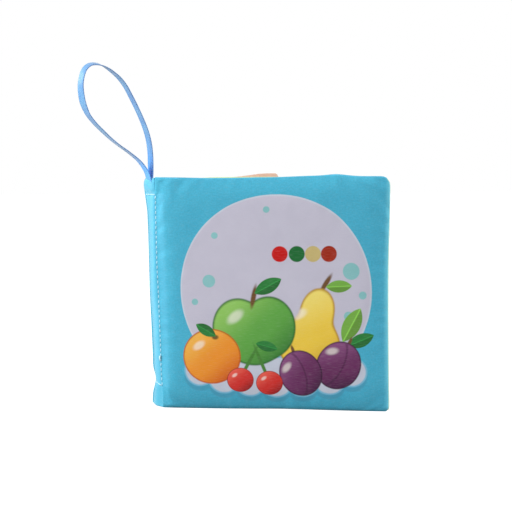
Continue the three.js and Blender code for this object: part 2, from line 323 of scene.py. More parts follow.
def sprig(g, ground, q, x, y, turn, size, colour):
    """A pointed leaf with a pale midrib, its stalk end at (x, y)."""
    t = math.radians(turn)
    p = g.place(q, x + size * math.cos(t), y + size * math.sin(t), turn, size)
    depth = g.math("MINIMUM", g.disc(p, 0, 0.85, 1.32), g.disc(p, 0, -0.85, 1.32))
    across = p[1]
    tone = g.mix(g.ramp(across, -0.1, 0.1), shade(colour, 0.72), colour)
    rib = g.less(0.035, g.math("ABSOLUTE", across))
    tone = g.paint(tone, shade(colour, 1.7), rib, 0.02, 0.8)
    return g.paint(ground, tone, depth)


def stalk(g, ground, q, x, y, turn, long, colour=rgb(110, 75, 40)):
    return g.paint(ground, colour, g.disc(q, x, y, long, 0.055, turn))


def pear(g, ground, q):
    ground = stalk(g, ground, q, 0.08, 1.18, 70, 0.24)
    depth = lobes(g, q, (0, -0.3, 0.72, 0.68), (0.02, 0.5, 0.4, 0.55), blend=0.35)
    ground = fill(g, ground, q, depth, rgb(246, 208, 72), rgb(214, 160, 36), rgb(252, 230, 120))
    return sprig(g, ground, q, 0.1, 1.1, 15, 0.3, PALE_GREEN)


def apple(g, ground, q):
    halves = (-0.32, 0.05, 0.62, 0.72, 8), (0.32, 0.05, 0.62, 0.72, -8)
    depth = lobes(g, q, *halves, (0, -0.25, 0.62, 0.55), blend=0.12)
    ground = fill(g, ground, q, depth, rgb(96, 168, 70), rgb(48, 118, 48), rgb(150, 205, 100))
    ground = stalk(g, ground, q, 0.05, 0.78, 75, 0.26)
    return sprig(g, ground, q, 0.08, 0.85, 25, 0.34, LEAF_GREEN)


def orange(g, ground, q):
    depth = lobes(g, q, (0, 0, 0.92, 0.88))
    ground = fill(g, ground, q, depth, rgb(244, 150, 44), rgb(216, 92, 22), rgb(252, 188, 80))
    ground = g.paint(ground, rgb(110, 90, 40), g.disc(q, 0.12, 0.62, 0.1, 0.07), 0.03)
    return sprig(g, ground, q, 0.14, 0.66, 150, 0.36, LEAF_GREEN)


def plum(g, ground, q, turn=0):
    q = g.place(q, 0, 0, turn)
    ground = stalk(g, ground, q, 0, 0.86, 90, 0.2)
    depth = lobes(g, q, (0, 0, 0.74, 0.84))
    ground = fill(g, ground, q, depth, rgb(104, 44, 92), rgb(58, 18, 56), rgb(142, 82, 132))
    crease = g.less(0.03, g.math("ABSOLUTE", g.disc(q, -0.35, 0, 0.5, 0.95)))
    return g.paint(ground, rgb(60, 20, 58), g.math("MINIMUM", crease, g.add(depth, -0.05)), 0.02, 0.5)


def cherries(g, ground, q):
    for x, y, bend in ((-0.5, -0.35, 62), (0.45, -0.45, 112)):
        ground = stalk(g, ground, q, x * 0.5, y * 0.2 + 0.25, bend, 0.72, rgb(70, 130, 50))
        p = g.place(q, x, y, 0, 0.46)
        depth = lobes(g, p, (0, 0, 0.95, 0.9))
        ground = fill(g, ground, p, depth, rgb(214, 46, 40), rgb(150, 20, 24), rgb(240, 96, 80))
    return sprig(g, ground, q, 0.02, 0.88, -15, 0.36, LEAF_GREEN)


def bubbles(g, ground, p, colour, *spots):
    for x, y, radius in spots:
        ground = g.paint(ground, colour, g.disc(p, x, y, radius), 0.25)
    return ground


# Materials
SLUB_STRETCH = 0.35, 4.0, 1.0
CLOTH_ROUGHNESS = 0.56, 0.7
# Strength of the painted shade in the groove of the front row and of the far row
GROOVE_PAINTED_SHADE, FAR_GROOVE_PAINTED_SHADE = 0.22, 0.06
HOLE_RADIUS = 0.3
BAND_MIDDLE, BAND_HALF = 2.7, 2.6  # of the painted highlight band beside a stitch row


def cloth_finish(g, p, colour, weave=0.4, crease=0.35, fuzz=0.18):
    """Woven polyester: plain weave, slight slubs and shade changes, soft creases from the film beneath."""
    over = g.times(*(g.ripple(c, weave) for c in p))
    slub = g.noise(g.node("VectorMath", g.vector, SLUB_STRETCH, operation="MULTIPLY"), 1.0, 2.0)
    tone = g.noise(g.vector, 0.09, 3.0)
    colour = g.mix(g.times(g.ramp(tone, 0.3, 0.7), 0.07), colour, WHITE, "SOFT_LIGHT")
    colour = g.mix(g.times(g.ramp(over, -1.0, 1.0), 0.1), colour, BLACK)
    g.put("Base Color", g.mix(g.times(g.ramp(slub, 0.45, 0.75), 0.05), colour, WHITE))
    g.put("Roughness", g.node("MapRange", slub, 0.3, 0.7, *CLOTH_ROUGHNESS))
    fine = g.bump(over, 0.04, 0.7)
    g.put("Normal", g.bump(g.noise(g.vector, 0.16, 1.5, 0.4), 0.9, crease, fine))
    g.put("Specular IOR Level", 0.14)
    g.put("Sheen Weight", fuzz)
    g.put("Sheen Roughness", 0.45)
    return g.material


def hinge_marks(g, p, paint, where, groove_shade=GROOVE_PAINTED_SHADE):
    """By a stitch row: painted shade in the groove and in the needle holes, and a painted highlight on the
    band beyond it.
    """
    x, y = p
    off = g.distance(x, where)
    between = g.times(g.ramp(y, BOTTOM_ROW - 0.6, BOTTOM_ROW), g.ramp(y, TOP_ROW + 0.6, TOP_ROW))
    # Painted shade along the groove, only between the short rows
    paint = g.mix(g.times(g.times(g.ramp(off, 1.0, 0.1), groove_shade), between), paint, GROOVE_AND_HOLE_SHADE)
    # Needle holes one stitch apart, each painted dark as shade in the hole
    step = g.math("PINGPONG", g.add(y, -BOTTOM_ROW), STITCH / 2)
    hole_shade = g.less(HOLE_RADIUS, g.length(off, step))
    paint = g.paint(paint, GROOVE_AND_HOLE_SHADE, hole_shade, 0.12, g.times(between, 0.6))
    # Painted highlight on the band of cloth just beyond the row
    ridge = g.less(BAND_HALF, g.distance(x, where + BAND_MIDDLE))
    return g.mix(g.times(g.times(g.ramp(ridge, 0.0, 2.3), between), 0.22), paint, RIDGE_HIGHLIGHT)


# Places, radii and colours of the cover's motifs, in millimetres from the hinge line and the foot.
SPOTS = [
    (27.5, 80.7, 1.5), (50.8, 92.4, 1.5), (24.7, 60.1, 2.9), (18.1, 50.6, 1.5), (88.7, 64.7, 3.8),
    (94, 53.9, 1.8), (87.5, 44.5, 2.1),
]
BACK_SPOTS = (16, 90, 3), (92, 86, 2), (90, 16, 3.6), (20, 18, 1.6), (30, 74, 1.5), (80, 40, 2)
PAGE_SPOTS = (22, 78, 3), (78, 80, 2.2), (24, 26, 2.2), (80, 24, 3)
DOT_HEIGHT, DOT_RADIUS = 72.3, 3.55
DOTS = (56.7, (200, 8, 4)), (64.3, (20, 104, 46)), (71.5, (204, 184, 120)), (78.6, (160, 38, 6))
PUFFS = (20, 19), (31, 15.5), (43, 14), (55, 13.5), (67, 14), (79, 15.5)
CLOUD = [(54, 18, 38, 8)] + [(x, y, 7.5, 7.5) for x, y in PUFFS] + [(89, 19, 7, 7)]
FRUIT = [
    (pear, (71, 37, -12, 19.5)), (apple, (45, 37.5, 4, 20)), (orange, (25.5, 25.5, 0, 14.5)),
    (plum, (83, 22, 0, 13.5), -25), (plum, (66, 18, 0, 13), 18), (cherries, (45.5, 19.5, 0, 14)),
]


def round_field(g, ground, disc):
    ground = g.paint(ground, CIRCLE_RIM, disc, 0.15)
    return g.paint(ground, CIRCLE, g.less(disc, 0.7), 0.2)


def front_cover_print():
    g = Graph("front_cover_print")
    p = g.uv()
    disc = g.math("MINIMUM", g.disc(p, 55.4, 55.9, 44.0), g.disc(p, 54.2, 55.2, 44.0))
    grain = g.ramp(g.noise(g.vector, 1.3, 1.0), 0.3, 0.7)
    paint = round_field(g, g.mix(grain, shade(COVER_BLUE, 0.93), shade(COVER_BLUE, 1.05)), disc)
    paint = bubbles(g, paint, p, BUBBLE, *SPOTS)
    for x, colour in DOTS:
        paint = g.paint(paint, rgb(*colour), g.disc(p, x, DOT_HEIGHT, DOT_RADIUS), 0.2)
    depth = lobes(g, p, *CLOUD, blend=0.4)
    paint = g.paint(paint, SHADOW, lobes(g, g.place(p, 0, -2.2), *CLOUD, blend=0.4), 0.5, 0.9)
    paint = g.paint(paint, MAT_RIM, depth, 0.3)
    paint = g.paint(paint, MAT, g.less(depth, 0.8), 0.4)
    paint = sprig(g, paint, p, 85, 33, 62, 8.5, PALE_GREEN)
    paint = sprig(g, paint, p, 87, 31, 22, 6.5, LEAF_GREEN)
    for motif, spot, *turn in FRUIT:
        paint = motif(g, paint, g.place(p, *spot), *turn)
    x, y = p
    # Painted highlight along the rolled fore edge, a little stronger above the foot
    rim = g.times(g.ramp(x, 103.2, 105.5), g.node("MapRange", y, 4.0, 30.0, 0.34, 0.56))
    paint = g.mix(rim, paint, COVER_RIM_HIGHLIGHT)
    # Painted shade along the foot, where the cover's edge turns down
    paint = g.mix(g.times(g.ramp(y, 2.4, 0.3), 0.4), paint, FOOT_SHADE)
    return cloth_finish(g, p, hinge_marks(g, p, paint, 0.0))


def back_cover_print():
    g = Graph("back_cover_print")
    p = g.uv()
    paint = round_field(g, COVER_BLUE, g.disc(p, 54, 54, 36))
    paint = bubbles(g, paint, p, BUBBLE, *BACK_SPOTS)
    paint = g.paint(paint, SHADOW, g.disc(p, 54, 36, 22, 3.5), 1.2, 0.7)
    paint = orange(g, paint, g.place(p, 62, 50, 0, 15))
    paint = cherries(g, paint, g.place(p, 42, 47, 0, 13))
    return cloth_finish(g, p, paint)


def page_print(name, ground, accent, motif):
    """A page: a dashed border, dots and one motif. Towards a cover's rim its lining pales."""
    g = Graph(name)
    p = g.uv()
    x, y = p
    side = g.math("MAXIMUM", g.distance(x, 50.0), g.distance(y, 53.0))
    line = g.less(0.45, g.distance(side, 41.0))
    dash = g.add(g.math("SINE", g.times(g.add(x, y), 1.4)), 0.35)
    paint = g.paint(ground, accent, g.math("MINIMUM", line, dash), 0.15)
    paint = bubbles(g, paint, p, accent, *PAGE_SPOTS)
    paint = g.paint(paint, shade(ground, 0.78), g.disc(p, 50, 29, 22, 3.5), 1.2, 0.8)
    paint = motif(g, paint, g.place(p, 50, 54, 0, 24))
    paint = g.mix(g.times(g.ramp(x, 104.4, 105.2), 0.75), paint, LINING_RIM)
    return cloth_finish(g, p, paint, weave=0.36, crease=0.3)


def spine_cloth():
    """The cover cloth where it wraps the spine, pierced by the two long stitch rows."""
    g = Graph("spine_cloth")
    p = g.uv()
    paint = COVER_BLUE
    # Each row: painted groove and hole shade and a painted highlight band; fainter groove shade at the far
    # row
    for side, groove_shade in ((-1, GROOVE_PAINTED_SHADE), (1, FAR_GROOVE_PAINTED_SHADE)):
        paint = hinge_marks(g, p, paint, SPINE_MIDDLE + side * HINGE_T, groove_shade)
    return cloth_finish(g, p, paint, crease=0.5, fuzz=0.6)


def liner_cloth():
    """The plain pale tape inside the spine."""
    g = Graph("liner_cloth")
    return cloth_finish(g, g.uv(), LINER, weave=0.5)


def ribbon_satin():
    """Ribbed satin with a woven edge, bluer near the sewn ends."""
    g = Graph("ribbon_satin")
    across, along = g.uv()
    rib = g.ripple(across, 0.34)
    edge = g.ramp(g.math("ABSOLUTE", across), 2.55, 2.8)
    cross = g.ripple(along, 0.3)
    root = g.math("MAXIMUM", g.ramp(along, 24, 10), g.ramp(along, RIBBON_LONG - 24, RIBBON_LONG - 10))
    tone = g.noise(g.vector, 0.12, 2.0)
    colour = g.mix(g.ramp(tone, 0.3, 0.75), rgb(60, 126, 184), rgb(94, 152, 193))
    colour = g.mix(g.times(root, 0.7), colour, rgb(54, 164, 255))
    colour = g.mix(g.times(edge, 0.45), colour, rgb(66, 124, 200))
    colour = g.mix(g.times(g.ramp(rib, -1.0, 1.0), 0.06), colour, rgb(230, 240, 255))
    g.put("Base Color", colour)
    g.put("Roughness", g.node("MapRange", tone, 0.3, 0.7, 0.3, 0.42))
    ribs = g.bump(rib, 0.02, 0.4)
    g.put("Normal", g.bump(g.times(cross, edge), 0.05, 0.5, ribs))
    g.put("Specular IOR Level", 0.35)
    g.put("Sheen Weight", 0.05)
    g.put("Anisotropic", 0.4)
    return g.material


def stitch_thread():
    """Two-ply thread: a pale helix round each stitch."""
    g = Graph("stitch_thread")
    around, along = g.uv()
    twist = g.math("SINE", g.add(g.times(around, 2 * math.pi * 2), g.times(along, 2 * math.pi / 0.45)))
    colour = g.mix(g.ramp(twist, -1.0, 0.4), rgb(142, 204, 226), rgb(200, 234, 244))
    g.put("Base Color", colour)
    g.put("Normal", g.bump(twist, 0.07, 0.8))
    g.put("Roughness", g.node("MapRange", g.noise(g.vector, 0.4), 0.3, 0.7, 0.42, 0.58))
    g.put("Sheen Weight", 0.2)
    return g.material


COVER_PRINT = front_cover_print()
BACK_PRINT = back_cover_print()
SPINE_CLOTH = spine_cloth()
LINER_CLOTH = liner_cloth()
YELLOW = page_print("page_yellow", rgb(212, 228, 150), rgb(120, 176, 84), pear)
PINK = page_print("page_pink", rgb(240, 190, 204), rgb(214, 104, 130), cherries)
MINT = page_print("page_mint", rgb(178, 226, 204), rgb(74, 158, 130), plum)
PEACH = page_print("page_peach", rgb(226, 188, 164), rgb(220, 140, 88), orange)
LILAC = page_print("page_lilac", rgb(208, 192, 230), rgb(134, 104, 180), apple)
SATIN = ribbon_satin()
THREAD = stitch_thread()


# Mesh helpers
def show(name, data):
    """A new object in the scene."""
    made = bpy.data.objects.new(name, data)
    scene.collection.objects.link(made)
    return made


def evaluated(item):
    return item.evaluated_get(bpy.context.evaluated_depsgraph_get())


def piece(name, points, faces, uvs, materials, zones=None, subdivide=0):
    """A smooth-shaded object: points in metres, uvs in millimetres, each face's material in zones."""
    mesh = bpy.data.meshes.new(name)
    mesh.from_pydata([tuple(p) for p in points], [], faces)
    layer = mesh.uv_layers.new(name="cloth")
    for loop in mesh.loops:
        layer.data[loop.index].uv = [c / CLOTH_UNIT for c in uvs[loop.vertex_index]]
    for material in materials:
        mesh.materials.append(material)
    mesh.polygons.foreach_set("use_smooth", [True] * len(faces))
    if zones:
        mesh.polygons.foreach_set("material_index", zones)
    made = show(name, mesh)
    if subdivide:
        rounder = made.modifiers.new("rounder", "SUBSURF")
        rounder.levels = rounder.render_levels = subdivide
        rounder.uv_smooth = "PRESERVE_CORNERS"
        shaped = bpy.data.meshes.new_from_object(evaluated(made))
        made.modifiers.clear()
        made.data = shaped
        shaped.name = name
    return made


def loft(rings, capped=True):
    """Faces between equal rings of points."""
    count = len(rings[0])
    points = [p for ring in rings for p in ring]
    faces = [
        (i * count + j, i * count + (j + 1) % count, (i + 1) * count + (j + 1) % count, (i + 1) * count + j)
        for i in range(len(rings) - 1)
        for j in range(count)
    ]
    if capped:
        faces += [tuple(reversed(range(count))), tuple(range(len(points) - count, len(points)))]
    return points, faces


def strip(rings, zones):
    """A loft whose rings run out along one side of a strip and back along the other, closed at its ends."""
    points, faces = loft(rings, capped=False)
    count, sides = len(zones), zones * (len(rings) - 1)
    for base, flip in ((0, False), (len(points) - count, True)):
        for i in range(count // 2 - 1):
            quad = (base + i, base + i + 1, base + count - 2 - i, base + count - 1 - i)
            faces.append(quad if flip else quad[::-1])
    return points, faces, sides + [0] * (len(faces) - len(sides))


def gather(points, faces, more_points, more_faces):
    """Adds separate shapes to one mesh."""
    faces += [tuple(f + len(points) for f in face) for face in more_faces]
    points += more_points


# Padded covers and leaves
HINGE_STEPS = 0, 0.5, 1.1, 1.8, 2.7, 3.9, 5.4  # of the mesh out from a hinge line
EDGE_STEPS = 0, 0.4, 1.0, 1.9, 3.0  # and in from a sewn edge
RIM_SHARE = 0.8  # of the rim's thickness that the faces keep at their seams
GROOVE_REACH, GROOVE_POWER = 6.5, 3.4
SEAM_RINGS = (-0.15, -0.45, 0.0), (0.1, 0.3, 0.3), (-0.05, 0.75, 1.0)  # inset, level, share of the lift
SEAM_PINCH = 0.4  # how far the near seam is drawn in at the fore edge
SWELLING_MASS = 0.15  # of each point, for the cloth solver
SLIDE_CAP = 0.6  # how far a point may slide within its face


def off_middle(x, low, high):
    """0 half way from low to high, 1 at both ends."""
    return min(abs(2 * (x - low) / (high - low) - 1), 1)


class Pad:
    """A sewn cover or leaf: two crowned faces and a seamed edge, in its panel's own (u, w, z)."""

    def __init__(self, panel, root, width, low, high, corners, rim, bellies, edges, spread=2.1, rise=0,
                 groove=0.0, power=4, wrap=0, folds=(), bend=flat, slide=flat):
        self.panel, self.root, self.width, self.low, self.high = panel, root, width, low, high
        self.corners, self.rim, self.bellies, self.rise, self.groove = corners, rim, bellies, rise, groove
        self.power, self.wrap, self.groove_side = power, wrap, 0 if groove else -1
        self.top, self.foot, self.fore, self.peek = edges
        self.columns = self.steps(root, width, spread, HINGE_STEPS, EDGE_STEPS)
        self.rows = self.steps(low, high, spread, EDGE_STEPS, EDGE_STEPS)
        self.folds, self.bend, self.slide = folds, bend, slide
        self.build()

    @staticmethod
    def steps(low, high, spread, near, far):
        first, last = low + near[-1], high - far[-1]
        count = round((last - first) / spread)
        middle = [first + (last - first) * i / count for i in range(1, count)]
        return [low + n for n in near] + middle + [high - f for f in reversed(far)]

    def round(self, u, z, inset):
        """Moves a point of the rectangle onto the outline drawn in by inset, with round fore-edge corners."""
        middle = (self.low + self.high) / 2
        u = self.root + (u - self.root) * (self.width - inset - self.root) / (self.width - self.root)
        z = middle + (z - middle) * (self.high - self.low - 2 * inset) / (self.high - self.low)
        sign = 1 if z > middle else -1
        radius = max(self.corners[sign > 0] - inset, 0.5)
        end = self.high - inset if sign > 0 else self.low + inset
        turn_u, turn_z = self.width - inset - radius, end - sign * radius
        a, b = (u - turn_u) / radius, (z - turn_z) * sign / radius
        if a > 0 and b > 0:
            u = turn_u + radius * a * math.sqrt(1 - b * b / 2)
            z = turn_z + sign * radius * b * math.sqrt(1 - a * a / 2)
        return u, z

    def half(self, u, z, side):
        """Half thickness: thin at the seams, full within, and a groove by the hinge line."""
        a, b = off_middle(u, self.root, self.width), off_middle(z, self.low, self.high)
        if side == self.groove_side and u < self.width / 2:
            a = 0
        full = math.sqrt((1 - a**self.power) * (1 - b**self.power))
        half = self.rim * RIM_SHARE + (self.bellies[side] - self.rim * RIM_SHARE) * full
        if side != self.groove_side:
            return half
        groove = self.groove + 0.35 * past_top_row(z)
        return groove + (half - groove) * (1 - (1 - min((u - self.root) / GROOVE_REACH, 1)) ** GROOVE_POWER)

    def ridges(self, u, z):
        """Soft folds of the outer cloth, each with its ends, height and half width."""
        lift = 0
        for (ua, za), (ub, zb), height, reach in self.folds:
            du, dz = ub - ua, zb - za
            s = min(max(((u - ua) * du + (z - za) * dz) / (du * du + dz * dz), 0), 1)
            away = math.hypot(u - ua - s * du, z - za - s * dz)
            lift += height * math.exp(-((away / reach) ** 2)) * (1 - 0.6 * s)
        return lift

    def sway(self, u, z):
        """Where the sewn outline strays from straight."""
        up = (z - self.low) / (self.high - self.low)
        shift = self.fore(z) * max(u / self.width, 0) ** 6
        rise = self.top(u) * up**5 + self.foot(u) * (1 - up) ** 5 + self.rise * u
        return u + shift + self.slide(u, z), z + rise

    def build(self):
        wide, tall = len(self.columns), len(self.rows)
        self.points, self.uvs, self.pinned, self.faces, self.zones = [], [], [], [], []
        for side, sign in ((0, -1), (1, 1)):
            for j, v in enumerate(self.rows):
                for i, c in enumerate(self.columns):
                    u, z = self.round(c, v, 0.3)
                    if i in (0, 1) or i == wide - 1 or j in (0, tall - 1):
                        self.pinned.append(len(self.points))
                    w = sign * (self.half(u, z, side) + (self.ridges(u, z) if side == self.wrap else 0))
                    self.uvs.append((u, z))
                    self.points.append([*self.sway(u, z), w + self.bend(u, z)])
        border = [(i, 0) for i in range(wide)] + [(wide - 1, j) for j in range(1, tall)]
        border += [(i, tall - 1) for i in range(wide - 2, -1, -1)] + [(0, j) for j in range(tall - 2, 0, -1)]
        grid = [[side * wide * tall + j * wide + i for i, j in border] for side in (0, 1)]
        rings = [grid[0]]
        for inset, level, lift in SEAM_RINGS:
            ring = []
            for i, j in border:
                pinch = SEAM_PINCH if i == wide - 1 and lift < 1 else 0
                u, z = self.round(self.columns[i], self.rows[j], inset + pinch)
                self.uvs.append((u, z))
                u, z = self.sway(u, z)
                over, out = self.peek(u, z)
                if j == tall - 1:
                    z += over * lift
                if i == wide - 1:
                    u += out * lift
                ring.append(len(self.points))
                self.pinned.append(len(self.points))
                self.points.append([u, z, level * self.rim + self.bend(u, z)])
            rings.append(ring)
        rings.append(grid[1])
        for side in (0, 1):
            for j in range(tall - 1):
                for i in range(wide - 1):
                    a = side * wide * tall + j * wide + i
                    quad = (a, a + 1, a + 1 + wide, a + wide)
                    self.faces.append(quad if side == 0 else quad[::-1])
                    self.zones.append(side)
        for level, (ring, above) in enumerate(zip(rings, rings[1:])):
            for k in range(len(border)):
                n = (k + 1) % len(border)
                self.faces.append((ring[n], ring[k], above[k], above[n]))
                low = rings[0][k] < wide and rings[0][n] < wide
                near = rings[0][k] % wide == 0 and rings[0][n] % wide == 0
                self.zones.append(int(self.wrap or (level > 1 and not low and not near)))

    def cloth(self, pressure, growth, bending):
        """Hangs a copy, ten times life size, on the cloth solver. Its seams are held."""
        mesh = bpy.data.meshes.new("swelling")
        places = [(u / SWELLING_UNIT, w / SWELLING_UNIT, z / SWELLING_UNIT) for u, z, w in self.points]
        mesh.from_pydata(places, [], self.faces)
        self.copy = show("swelling", mesh)
        group = self.copy.vertex_groups.new(name="seams")
        group.add(self.pinned, 1, "REPLACE")
        solver = self.copy.modifiers.new("cloth", "CLOTH")
        rules = solver.settings
        rules.quality, rules.mass = 6, SWELLING_MASS
        rules.tension_stiffness = rules.compression_stiffness = 12
        rules.shear_stiffness = 6
        rules.bending_stiffness = bending
        rules.use_pressure = True
        rules.uniform_pressure_force = pressure
        rules.shrink_min = -growth
        rules.vertex_group_mass = "seams"
        rules.effector_weights.gravity = 0
        solver.collision_settings.use_collision = False
        solver.point_cache.frame_start, solver.point_cache.frame_end = 1, SWELLING_STEPS

    def settle(self, outward, inward):
        """Takes the solver's shape, with a cap on how far a point moves out or in."""
        shaped = evaluated(self.copy).data
        side = len(self.columns) * len(self.rows)
        for k in range(2 * side):
            point, spot = self.points[k], [c * SWELLING_UNIT for c in shaped.vertices[k].co]
            sign = -1 if k < side else 1
            out = outward[k >= side] * (0.12 + 0.88 * ease((point[0] - self.root) / 9))
            moved = (spot[1] - point[2]) * sign
            moved = out * math.tanh(moved / out) if moved > 0 else -inward * math.tanh(-moved / inward)
            point[2] += sign * moved
            point[0] += SLIDE_CAP * math.tanh((spot[0] - point[0]) / SLIDE_CAP)
            point[1] += SLIDE_CAP * math.tanh((spot[2] - point[1]) / SLIDE_CAP)
        bpy.data.objects.remove(self.copy)

    def finish(self, name, materials, replaced, slot, fill_share, bend):
        points = [self.panel.at(u, w, z) for u, z, w in self.points]
        made = piece(name, points, self.faces, self.uvs, materials, self.zones, subdivide=1)
        self.panel.at(bend[0], 0, 50)
        self.panel.at(bend[1], 0, 50)
        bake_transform(made)
        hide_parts(*replaced)


# How far the front cover's edges stray from straight, and its lining peeks over and out.
FRONT_TOP = profile(
    (0, 0.25), (10, 0.1), (20.6, -0.2), (30, -0.45), (44, -0.3), (55, -0.1), (68, 0.35), (75, 0.55),
    (82, 1.1), (87, 0.6), (92, 0.15), (106, 0.05),
)
FRONT_FOOT = profile((0, 0), (22, 0), (43, 0.2), (58, 0.4), (85, 0.1), (106, -0.05))
FRONT_FORE = profile(
    (0, 0.3), (15, 0.15), (28, -0.08), (48, -0.35), (66, -0.5), (78, -0.35), (89, -0.05), (107, 0.1),
)
PEEK_OVER = profile((20, 0), (29, 0.75), (45, 0.6), (54, 0.35), (60, 0), (106, 0))
PEEK_OUT = profile((0, 0.7), (6, 0.65), (15, 0.4), (80, 0.35), (88, 0.15), (107, 0.1))
COVER_SHAPE = COVER_WIDTH, 0, COVER_HEIGHT, COVER_CORNERS, COVER_RIM
front_pad = Pad(
    FRONT, -0.1, *COVER_SHAPE, (1.9, 1.25), groove=0.2, power=8, slide=lambda u, z: DRIFT(z) * bell(u, 0, 9),
    edges=(FRONT_TOP, FRONT_FOOT, FRONT_FORE, lambda u, z: (PEEK_OVER(u), PEEK_OUT(z))),
    folds=[
        ((82, 106), (73, 95), 0.5, 2.4), ((91, 106), (97, 96), 0.3, 3), ((9, 106), (6, 92), 0.25, 2.5),
        ((34, 0), (36, 9), 0.3, 2.2), ((62, 0), (60, 8), 0.25, 2.4), ((98, 3), (92, 12), 0.3, 2.6),
    ],
)
back_pad = Pad(
    BACK, -0.4, *COVER_SHAPE, (1.25, 1.8), power=8, wrap=1, bend=lambda u, z: -TUCK(z) * bell(u, 0, 7),
    edges=(
        profile((0, 0), (30, -0.6), (62, -0.95), (84, -0.9), (106, -0.8)),
        profile((0, 0), (40, 0.5), (75, 0.8), (106, 0)),
        profile((0, 0), (40, -0.5), (80, -0.2), (107, 0)),
        lambda u, z: (0.0, 0.15),
    ),
)
LEAF_TOPS = [
    profile((0, 0), (30, 0.2), (60, -0.3), (100, 0)),
    profile((0, 0), (40, -0.35), (70, 0.15), (100, 0)),
    profile((0, 0), (25, -0.2), (65, 0.3), (100, 0)),
    profile((0, 0), (40, 0.1), (66, 0.35), (82, 0.85), (94, 0.5), (100, 0.3)),
]
LEAF_FORES = [profile((0, 0), (50, -0.5), (107, 0))] * 3
LEAF_FORES.append(profile((0, 0), (60, -0.6), (95, -1.2), (107, -2)))
LEAF_RISES = 0.004, -0.002, 0.006, 0.05  # of the upper edge, per millimetre out from the hinge line
LEAF_SHAPE = LEAF_WIDTH, LEAF_BASE, LEAF_TOP, LEAF_CORNERS, LEAF_RIM
leaf_pads = []
for panel, top, fore, rise in zip(LEAVES, LEAF_TOPS, LEAF_FORES, LEAF_RISES):
    edges = top, flat, fore, lambda u, z: (0.0, 0.0)
    leaf_pads.append(Pad(panel, -0.3, *LEAF_SHAPE, (0.62, 0.62), edges, spread=2.3, rise=rise))

# Pressure and stiffness, then settle's caps: near and far face outward, either face inward.
COVER_SWELLING, LEAF_SWELLING = (3.0, 0.6), (1.0, 0.35)
FRONT_CAPS, BACK_CAPS, LEAF_CAPS = ((1.1, 0.35), 0.7), ((0.35, 1.1), 0.7), ((0.3, 0.3), 0.45)


def swell(pads):
    for k, pad in enumerate(pads):
        pressure, stiffness = COVER_SWELLING if k < 2 else LEAF_SWELLING
        pad.cloth(pressure, 0.012 + 0.002 * (k % 3), stiffness)
    for step in range(1, SWELLING_STEPS + 1):
        scene.frame_set(step)
    for pad, caps in zip(pads, (FRONT_CAPS, BACK_CAPS, *[LEAF_CAPS] * 4)):
        pad.settle(*caps)
    scene.frame_set(1)


swell([front_pad, back_pad, *leaf_pads])


def cover_nodes(side):
    return [f"{side}_cover_{n}" for n in ("outer_fabric", "wadding", "crinkle_film", "lining")]


COVER_LOOK = "cover_cloth", 0.35, HINGE_BEND  # slot, fill and bend
front_pad.finish("front_cover_pad", (COVER_PRINT, YELLOW), cover_nodes("front"), *COVER_LOOK)
back_pad.finish("back_cover_pad", (LILAC, BACK_PRINT), cover_nodes("back"), *COVER_LOOK)
PAGES = [
    (YELLOW, PINK, "page_yellow_cloth"),
    (PINK, MINT, "page_pink_cloth"),
    (MINT, PEACH, "page_mint_cloth"),
    (PEACH, LILAC, "page_peach_cloth"),
]
for k, (pad, (near, far, slot)) in enumerate(zip(leaf_pads, PAGES)):
    nodes = [f"leaf_{k + 1}_{n}" for n in ("front_fabric", "crinkle_film", "back_fabric")]
    pad.finish(f"leaf_{k + 1}_pad", (near, far), nodes, slot, 0.2, LEAF_BEND)


# Spine

# How far the spine's middle swells out, and how far it rounds off beside the front row, by height.
SPINE_SWELL = profile(
    (0, 0.75), (5, 0.6), (8, 0.45), (12, 0.12), (16, 0.2), (20, 0.3), (40, 0.38), (50, 0.9), (57, 1.08),
    (73, 1.0), (83, 0.9), (88, 0.85), (101, 0.95), (105.6, 0.85), (107, 0.45),
)
SHOULDER = profile(
    (0, 0), (9, 0), (12, 0.35), (18, 0.4), (27, 0.55), (41, 0.65), (60, 0.9), (82, 0.9), (96, 0.45),
    (101, 0.1),
)
BOTTOM_TILT = 0.25  # the bottom row climbs this much a millimetre across the spine


def spine_face(t, z):
    """m of the spine cloth's outer face."""
    share = min(abs(t) / HINGE_T, 1)
    crown = 1 - share**2.5
    near_row = bell(share, 0.93, 0.1) * (0.10 + 0.08 * math.cos(2 * math.pi * z / STITCH))
    rows = 0.45 * bell(z, TOP_ROW, 0.9) + 0.25 * bell(z, BOTTOM_ROW + BOTTOM_TILT * (t + HINGE_T), 0.9)
    fold = 0.35 * bell(z - 101.5 - 0.75 * (t + 2), 0, 0.8) * bell(t, 0.5, 3.0) if z < 106.5 else 0
    crumple = 0.28 * waver(t * 0.16, z * 0.11, 3.7)
    crumple += 0.12 * waver(t * 0.5, z * 0.35, 9.1)
    edge = -0.2 - 0.35 * past_top_row(z)
    if t < 0 and share > 0.5:
        edge += SHOULDER(z) * (1 - math.sqrt(1 - ((share - 0.5) / 0.5) ** 2))
    swelling = SPINE_SWELL(z)
    return edge - swelling * crown + near_row + (rows - fold - crumple * (0.4 + swelling * 0.3)) * crown


def follow_front_hinge(made):
    """Bakes a spine piece's placement into its mesh. Two points on the front hinge are worked out but not
    used.
    """
    FRONT.at(HINGE_BEND[0], 0, 50)
    FRONT.at(HINGE_BEND[1], 0, 50)
    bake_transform(made)


def spine_point(m, t, z):
    """A point moved with the cover roots: the near edge drifts over the front, the far edge tucks in."""
    drift, tuck = DRIFT(z) * ease((-t - 1.5) / 3.4), TUCK(z) * ease((t + 1) / 6)
    m += drift * math.cos(FRONT.angle) + tuck * math.sin(BACK.angle)
    return book(m, t + drift * math.sin(FRONT.angle) - tuck * math.cos(BACK.angle), z)


